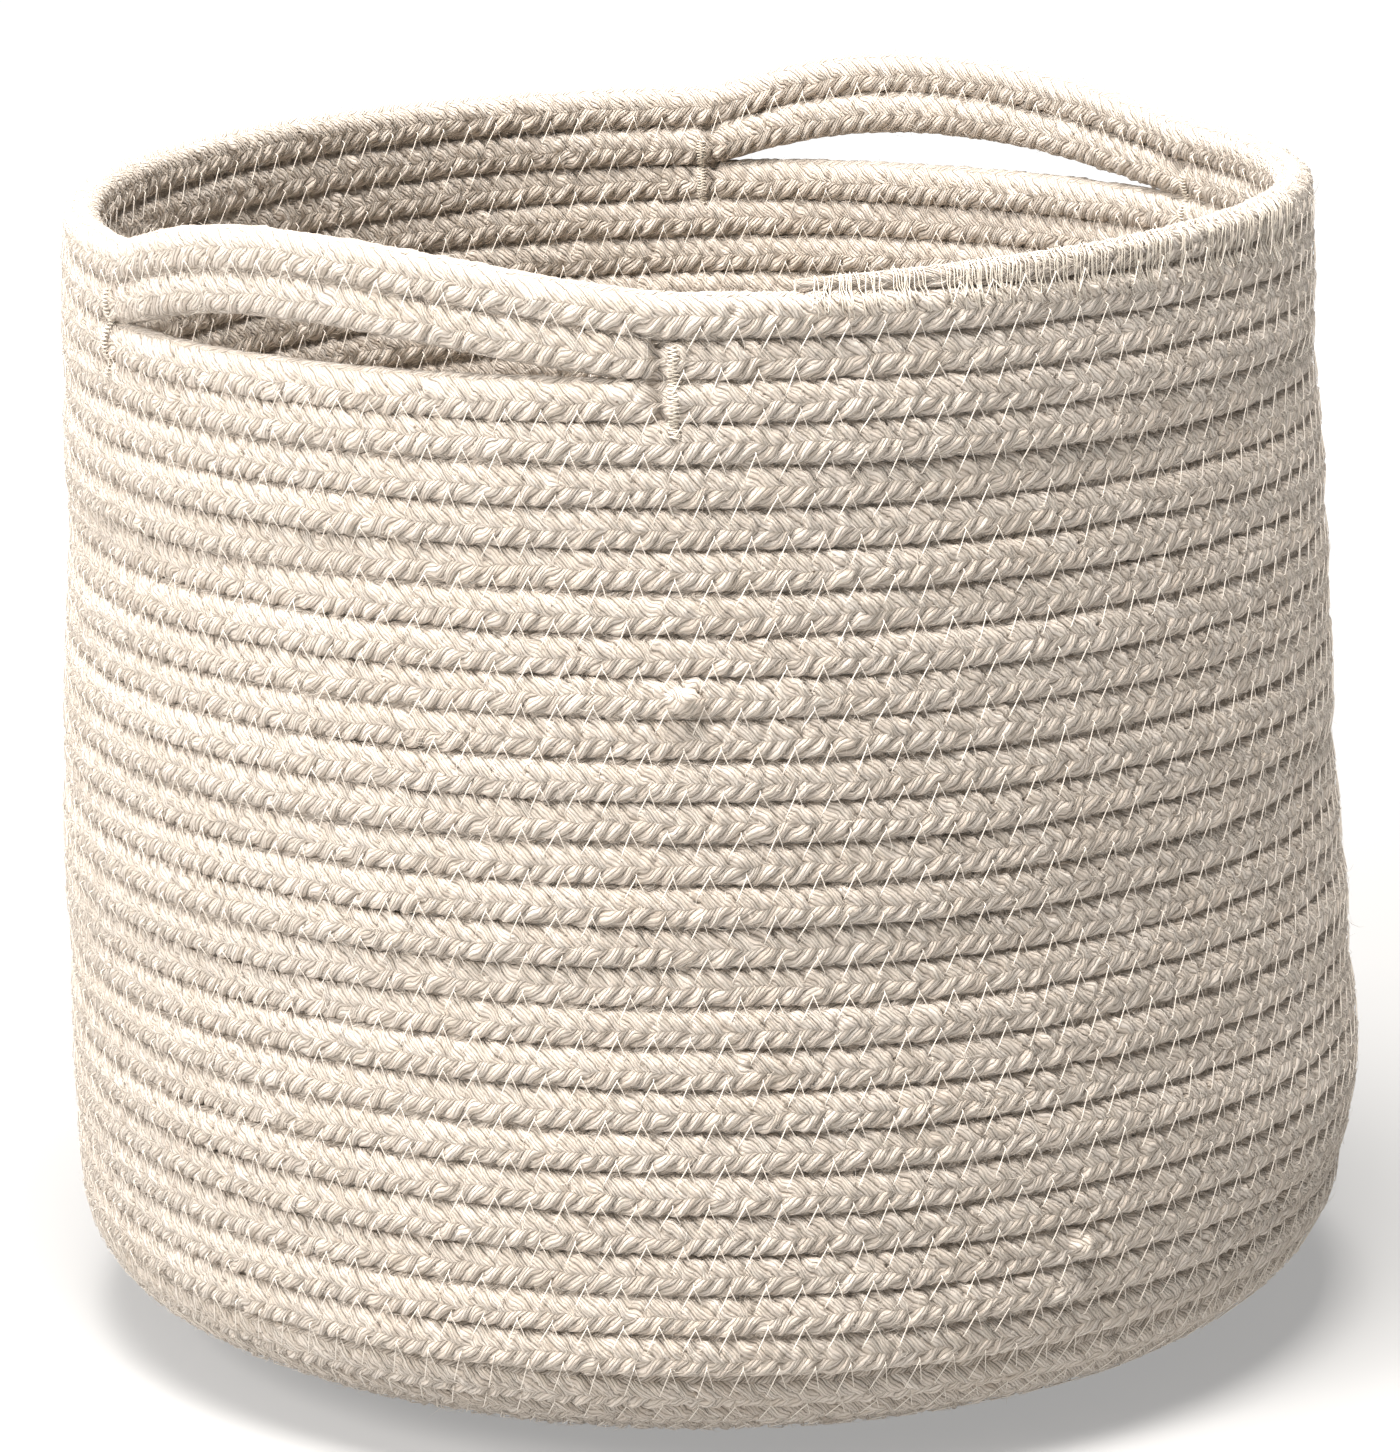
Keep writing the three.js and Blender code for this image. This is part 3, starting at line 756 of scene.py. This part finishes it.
# ------------------------------------------------------------ seam thread
def tube(points, radius, sides=4):
    """points (m, k, 3): m separate lines of k points each -> verts, quads"""
    P = np.asarray(points, float)
    m, k, _ = P.shape
    d = np.gradient(P, axis=1)
    d /= np.linalg.norm(d, axis=2, keepdims=True) + 1e-9
    ref = np.zeros_like(d)
    ref[..., 2] = 1.0
    a = np.cross(d, ref)
    bad = np.linalg.norm(a, axis=2) < 0.1
    a[bad] = np.cross(d[bad], np.array([1.0, 0, 0]))
    a /= np.linalg.norm(a, axis=2, keepdims=True) + 1e-9
    b = np.cross(d, a)
    ang = np.arange(sides) * 2 * PI / sides
    r = radius if np.ndim(radius) == 0 else np.asarray(radius)[..., None, None]
    V = P[:, :, None, :] + r * (np.cos(ang)[None, None, :, None] * a[:, :, None, :] + np.sin(ang)[None, None, :, None] * b[:, :, None, :])
    V = V.reshape(-1, 3)
    base = (np.arange(m) * k * sides)[:, None, None]
    i = (np.arange(k - 1) * sides)[None, :, None]
    j = np.arange(sides)[None, None, :]
    jn = (j + 1) % sides
    F = np.stack([base + i + j, base + i + jn, base + i + sides + jn, base + i + sides + j], -1).reshape(-1, 4)
    # close both ends with a quad each (four sides)
    e0 = (np.arange(m) * k * sides)[:, None] + np.arange(sides)[None, ::-1]
    e1 = (np.arange(m) * k * sides + (k - 1) * sides)[:, None] + np.arange(sides)[None, :]
    if sides == 4:
        F = np.concatenate([F, e0, e1])
    return V, F


def seam_lines(ph0, ph1, inside):
    """one line for each stitch from the foot up over the groove and back down"""
    ks = np.arange(math.ceil(ph0 + 0.4), math.floor(ph1 - 0.4) + 1)
    j1 = (hash01(ks, 51 + inside) - 0.5)
    j2 = (hash01(ks, 52 + inside) - 0.5)
    j3 = (hash01(ks, 53 + inside) - 0.5)
    sgn = -1.0 if not inside else 1.0
    t_apex = seam_turn(ks + 0.0)
    t_foot = seam_turn(ks + sgn * (2.9 + 0.8 * j1) / STITCH)
    t_dn = seam_turn(ks - sgn * (1.7 + 0.9 * j2) / STITCH)
    def surf(t, deg, ex):
        th = np.radians(deg)
        if inside:
            th = PI - th
        return np.stack(rope_point(t, th + 0 * t, ex, braid=False), -1)
    one = np.ones_like(t_apex)
    A0 = surf(t_apex, -16 + 8 * j3, -0.9)
    A = surf(t_apex, -21 + 8 * j3, 0.72)
    Fo = surf(t_foot + 1, 20 + 9 * j1, 0.72)
    F0 = surf(t_foot + 1, 15 + 9 * j1, -0.9)
    G = surf(t_dn + 1, 36 + 6 * j2, 0.72)
    G0 = surf(t_dn + 1, 30 + 6 * j2, -0.7)
    out = (A + Fo) / 2
    mid = out
    l1 = np.stack([F0, Fo, Fo * 0.7 + A * 0.3, mid, Fo * 0.3 + A * 0.7, A, A0], 1)
    l2 = np.stack([A0, A, A * 0.62 + G * 0.38, A * 0.25 + G * 0.75, G, G0], 1)
    return l1, l2


def seam(name, t0, t1, inside, handle=None):
    ph0, ph1 = seam_phase(t0), seam_phase(t1)
    l1, l2 = seam_lines(ph0, ph1, inside)
    V1, F1 = tube(l1, 0.155)
    V2, F2 = tube(l2, 0.11)
    ob, loops = make_mesh(name, np.concatenate([V1, V2]), np.concatenate([F1, F2 + len(V1)]))
    # a simple layout, one small cell a stitch
    n = len(ob.data.loops)
    cell = np.arange(n // 4)
    side = int(math.ceil(math.sqrt(len(cell))))
    cx, cy = cell % side, cell // side
    q = np.array([[0.1, 0.1], [0.9, 0.1], [0.9, 0.9], [0.1, 0.9]])
    uv = np.stack([(cx[:, None] + q[None, :, 0]) / side, (cy[:, None] + q[None, :, 1]) / side], -1).reshape(-1, 2)
    set_uv(ob.data, "OFBake", uv)
    return finish_piece(ob, THREAD, handle=handle)


for inside, tag in ((0, "outer"), (1, "inner")):
    seam(f"seam_{tag}_rim_right_1", 0.03, T_RE0, inside)
    seam(f"seam_{tag}_handle_rear", T_RE0, T_RE1, inside, handle="rear")
    seam(f"seam_{tag}_rim_left_1", T_RE1, T_FR0, inside)
    seam(f"seam_{tag}_handle_front", T_FR0, T_FR1, inside, handle="front")
    seam(f"seam_{tag}_rim_right_2", T_FR1, 1 + T_RE0, inside)
    seam(f"seam_{tag}_rim_left_2", 1 + T_RE1, 1 + T_FR0, inside)
    edges = np.linspace(1 + T_FR1, T_END - 1.1, 4)
    for i in range(3):
        seam(f"seam_{tag}_wall_{i + 1}", float(edges[i]), float(edges[i + 1]), inside)


def fuzz(name, t0, t1, count, seed, handle=None):
    """loose fibres standing off the rope"""
    r = np.random.RandomState(seed)
    t = r.uniform(t0, t1, count)
    th = np.radians(r.uniform(-62, 62, count))
    inner = r.uniform(0, 1, count) < (0.25 if t0 < 8 else 0.0)
    th = np.where(inner, PI - th, th)
    w = 2 * PI * 165
    ln = r.gamma(3.0, 0.85, count)
    ph = r.uniform(0, 2 * PI, count)
    lift = np.abs(r.normal(0, 0.42, count)) * ln * 0.5
    pts = []
    for k in range(5):
        f = k / 4.0
        curl = 0.35 * np.sin(f * PI + ph) * ln
        dt = (f * ln * np.cos(ph) + 0.4 * curl * np.sin(ph)) / w
        dth = (f * ln * np.sin(ph) - 0.4 * curl * np.cos(ph)) / 5.0
        ex = -0.15 + 0.75 * min(1.0, 4 * f) + lift * f ** 1.5
        pts.append(np.stack(rope_point(np.clip(t + dt, 0.001, T_END - 0.01), th + dth, ex, braid=False), -1))
    P = np.stack(pts, 1)
    rad = np.array([0.045, 0.045, 0.040, 0.032, 0.012])[None, :] * r.uniform(0.8, 1.3, count)[:, None]
    V, F = tube(P, rad, sides=3)
    ob, loops = make_mesh(name, V, F)
    n = len(ob.data.loops)
    cell = np.arange(n // 4)
    side = int(math.ceil(math.sqrt(len(cell))))
    q = np.array([[0.1, 0.1], [0.9, 0.1], [0.9, 0.9], [0.1, 0.9]])
    uv = np.stack([((cell % side)[:, None] + q[None, :, 0]) / side, ((cell // side)[:, None] + q[None, :, 1]) / side], -1).reshape(-1, 2)
    set_uv(ob.data, "OFBake", uv)
    return finish_piece(ob, THREAD, handle=handle)


FZ = 1.0
fuzz("fibres_rim_right", 0.02, T_RE0, int(500 * FZ), 1)
fuzz("fibres_handle_rear_upper", T_RE0, T_RE1, int(500 * FZ), 2, handle="rear")
fuzz("fibres_rim_left", T_RE1, T_FR0, int(900 * FZ), 3)
fuzz("fibres_handle_front_upper", T_FR0, T_FR1, int(500 * FZ), 4, handle="front")
fuzz("fibres_handle_rear_lower", 1 + T_RE0, 1 + T_RE1, int(400 * FZ), 5, handle="rear")
fuzz("fibres_handle_front_lower", 1 + T_FR0, 1 + T_FR1, int(400 * FZ), 6, handle="front")
fuzz("fibres_wall_upper", 1 + T_FR1, 14.0, int(14000 * FZ), 7)
fuzz("fibres_wall_lower", 14.0, 31.0, int(15000 * FZ), 8)


def end_stitches(name, t0, t1, count):
    """thread worked over the thin end of the rope and the course below it"""
    r = np.random.RandomState(77)
    t = np.sort(r.uniform(t0, t1, count))
    w = 2 * PI * 160
    sl = r.normal(0, 0.7, count) / w
    top = np.radians(r.uniform(48, 86, count))
    bot = np.radians(r.uniform(-8, 44, count))

    def pt(tt, th, ex):
        return np.stack(rope_point(tt, th, ex, braid=False), -1)
    L = np.stack([pt(t + sl, top, -0.7), pt(t + sl, top - 0.10, 0.55), pt(t + sl * 0.6, top * 0.35, 0.72),
                  pt(t + sl * 0.2, top * 0 - 0.45, 0.65), pt(t + 1 - sl * 0.4, bot * 0 + 0.80, 0.65), pt(t + 1 - sl, bot, 0.80),
                  pt(t + 1 - sl, bot - 0.10, -0.7)], 1)
    V, F = tube(L, 0.15)
    ob, loops = make_mesh(name, V, F)
    n = len(ob.data.loops)
    cell = np.arange(n // 4)
    side = int(math.ceil(math.sqrt(len(cell))))
    q = np.array([[0.1, 0.1], [0.9, 0.1], [0.9, 0.9], [0.1, 0.9]])
    uv = np.stack([((cell % side)[:, None] + q[None, :, 0]) / side, ((cell // side)[:, None] + q[None, :, 1]) / side], -1).reshape(-1, 2)
    set_uv(ob.data, "OFBake", uv)
    return finish_piece(ob, TACK)


end_stitches("seam_outer_rope_end", 0.002, min(TAPER, T_RE0 - 0.004), 210)


# ------------------------------------------------------------ bar tacks
def tack(name, t_slot, direction, node):
    """t_slot: turn of the course above the slot's end; direction: which way along
    the rope the tack lies from the slot"""
    lines = []
    width = 2.5
    for inside in (0, 1):
        n = 46
        lo, hi = (-8.2, 13.4) if not inside else (-6.5, 11.0)
        for k in range(n):
            f = k / (n - 1)
            d = lo + (hi - lo) * f       # mm down the wall from the seam at the slot
            kc = math.floor(d / 10)
            tt, dd = t_slot + 1 + kc, d - 10 * kc - 5.0
            env = HALF_T * max(0.02, 1 - abs(dd / HALF_H) ** 2.2) ** (1 / 2.2)
            env = max(env, 2.9)
            u = np.linspace(-1, 1, 7)
            rr = np.random.RandomState(900 + k + 100 * inside)
            slope = 0.30 * (1 if k % 2 else -1)
            tw = tt + direction * 1.75 / (2 * PI * 160) + (u * width / 2 * (1 + 0.22 * rr.uniform(-1, 1)) + 0.15 * rr.uniform(-1, 1)) / (2 * PI * 160)
            nn = env + 0.80 * np.sqrt(np.clip(1 - (u * 0.98) ** 2, 0, 1)) - 0.25 + 0.08 * rr.uniform(-1, 1)
            if inside:
                nn = -nn
            x, y, z = place(tw, nn, dd + slope * u + 0 * u)
            lines.append(np.stack([x, y, z], -1))
    V, F = tube(np.array(lines), 0.20)
    ob, loops = make_mesh(name, V, F)
    n = len(ob.data.loops)
    cell = np.arange(n // 4)
    side = int(math.ceil(math.sqrt(len(cell))))
    q = np.array([[0.1, 0.1], [0.9, 0.1], [0.9, 0.9], [0.1, 0.9]])
    uv = np.stack([((cell % side)[:, None] + q[None, :, 0]) / side, ((cell // side)[:, None] + q[None, :, 1]) / side], -1).reshape(-1, 2)
    set_uv(ob.data, "OFBake", uv)
    return finish_piece(ob, TACK, replaces=[node])


tack("tack_front_left_stitches", 1 + T_FR0, -1, "bar_tack_front_left")
tack("tack_front_right_stitches", 1 + T_FR1, 1, "bar_tack_front_right")
tack("tack_rear_right_stitches", 1 + T_RE0, -1, "bar_tack_rear_right")
tack("tack_rear_left_stitches", 1 + T_RE1, 1, "bar_tack_rear_left")

# ------------------------------------------------------------ stage
def stage():
    """a plain pale floor whose glow is painted light, bright as a lit white sweep"""
    s = 9.0
    me = bpy.data.meshes.new("floor")
    me.from_pydata([(-s, -s, -0.0009), (s, -s, -0.0009), (s, s, -0.0009), (-s, s, -0.0009)], [], [(0, 1, 2, 3)])
    fl = bpy.data.objects.new("floor", me)
    bpy.context.scene.collection.objects.link(fl)
    mat = bpy.data.materials.new("floor_pale")
    nt = nodes_of(mat)
    b = NB(nt)
    sh = b.new("ShaderNodeBsdfPrincipled")
    sh.inputs["Base Color"].default_value = (0.32, 0.32, 0.32, 1)
    sh.inputs["Roughness"].default_value = 0.95
    sh.inputs["Specular IOR Level"].default_value = 0.0
    sh.inputs["Emission Color"].default_value = (1, 1, 1, 1)
    # painted light: the sheet's glow is a little weaker close to the basket
    co = b.new("ShaderNodeTexCoord")
    ln = b.new("ShaderNodeVectorMath", operation="LENGTH")
    b.link(co.outputs["Object"], ln.inputs[0])
    mr = b.new("ShaderNodeMapRange", interpolation_type="SMOOTHSTEP")
    b.link(ln.outputs["Value"], mr.inputs["Value"])
    for k, v in (("From Min", 0.25), ("From Max", 1.8), ("To Min", 0.32), ("To Max", 0.98)):
        mr.inputs[k].default_value = v
    b.link(mr.outputs[0], sh.inputs["Emission Strength"])
    out = b.new("ShaderNodeOutputMaterial")
    b.link(sh.outputs[0], out.inputs[0])
    me.materials.append(mat)


stage()


def area(name, pos, target, size, power, color=(1, 1, 1)):
    li = bpy.data.lights.new(name, "AREA")
    li.shape = "RECTANGLE"
    li.size, li.size_y = size
    li.energy = power
    li.color = color
    ob = bpy.data.objects.new(name, li)
    bpy.context.scene.collection.objects.link(ob)
    p, t = Vector(pos), Vector(target)
    ob.matrix_world = Matrix.Translation(p) @ (t - p).to_track_quat("-Z", "Y").to_matrix().to_4x4()
    return ob


def cam_dir(phi_deg, el_deg, dist):
    """a place given from the camera's own side: 0 is towards the camera, 90 its right"""
    a = CAM_AZ + math.radians(phi_deg)
    e = math.radians(el_deg)
    return (math.sin(a) * math.cos(e) * dist, -math.cos(a) * math.cos(e) * dist, 0.16 + math.sin(e) * dist)


area("key", cam_dir(-58, 30, 1.9), (0, 0, 0.16), (0.8, 0.8), 33, (1.0, 0.968, 0.935))
area("front", cam_dir(-32, 42, 2.1), (0, 0, 0.18), (1.0, 1.0), 4, (1.0, 0.968, 0.935))
area("top", cam_dir(-15, 76, 1.9), (0, 0, 0.2), (1.0, 1.0), 100, (1.0, 0.965, 0.925))

world = bpy.data.worlds.new("studio")
bpy.context.scene.world = world
world.use_nodes = True
wn = world.node_tree
wn.nodes.clear()
bg = wn.nodes.new("ShaderNodeBackground")
bg.inputs[0].default_value = (1.0, 0.98, 0.95, 1)
bg.inputs[1].default_value = 0.16
wo = wn.nodes.new("ShaderNodeOutputWorld")
wn.links.new(bg.outputs[0], wo.inputs[0])
bpy.context.scene.view_settings.view_transform = "Standard"
bpy.context.scene.view_settings.look = "None"

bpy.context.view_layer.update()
tot = sum(len(o.data.polygons) for o in bpy.data.objects if o.type == "MESH" and not o.hide_render)
print("polygons", tot, "turns", T_END, "rope m", rope_len(T_END) / 1000)
